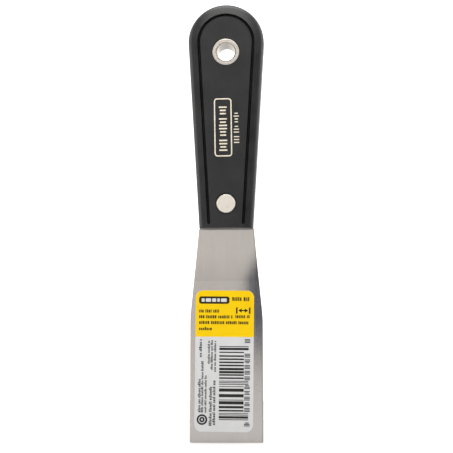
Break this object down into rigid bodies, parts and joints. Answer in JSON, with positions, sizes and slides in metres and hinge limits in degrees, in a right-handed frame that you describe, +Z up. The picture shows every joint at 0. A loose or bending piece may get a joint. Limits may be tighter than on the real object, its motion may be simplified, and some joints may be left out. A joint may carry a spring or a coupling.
{
  "type": "putty knife",
  "caption": "Flexible putty knife: flared spring-steel blade with a full tang riveted between two black scales, a metal-lined hang hole and a paper label.",
  "frame": {"origin": "centre of the hang hole, in the middle plane of the blade", "axes": "+Z up along the knife from the working edge to the round end of the handle, -Y out of the labelled front face, +X to the right as seen from the front"},
  "size_m": [0.033, 0.015, 0.191],
  "materials": {
    "blade_steel": "satin, brushed along the blade",
    "handle_nylon": "black nylon, fine satin",
    "plated_nickel": "satin nickel plate",
    "label_paper": "coated white paper",
    "label_yellow": "yellow print on coated paper",
    "label_ink": "black print on coated paper",
    "stamp_foil": "pale gold stamping foil"
  },
  "bodies": {
    "root": {"blade": "blade_steel", "handle_scale_front": "handle_nylon", "handle_scale_rear": "handle_nylon", "eyelet_barrel": "plated_nickel", "eyelet_washer": "plated_nickel", "rivet_female": "plated_nickel", "rivet_male": "plated_nickel", "label": "label_paper"}
  },
  "joints": []
}
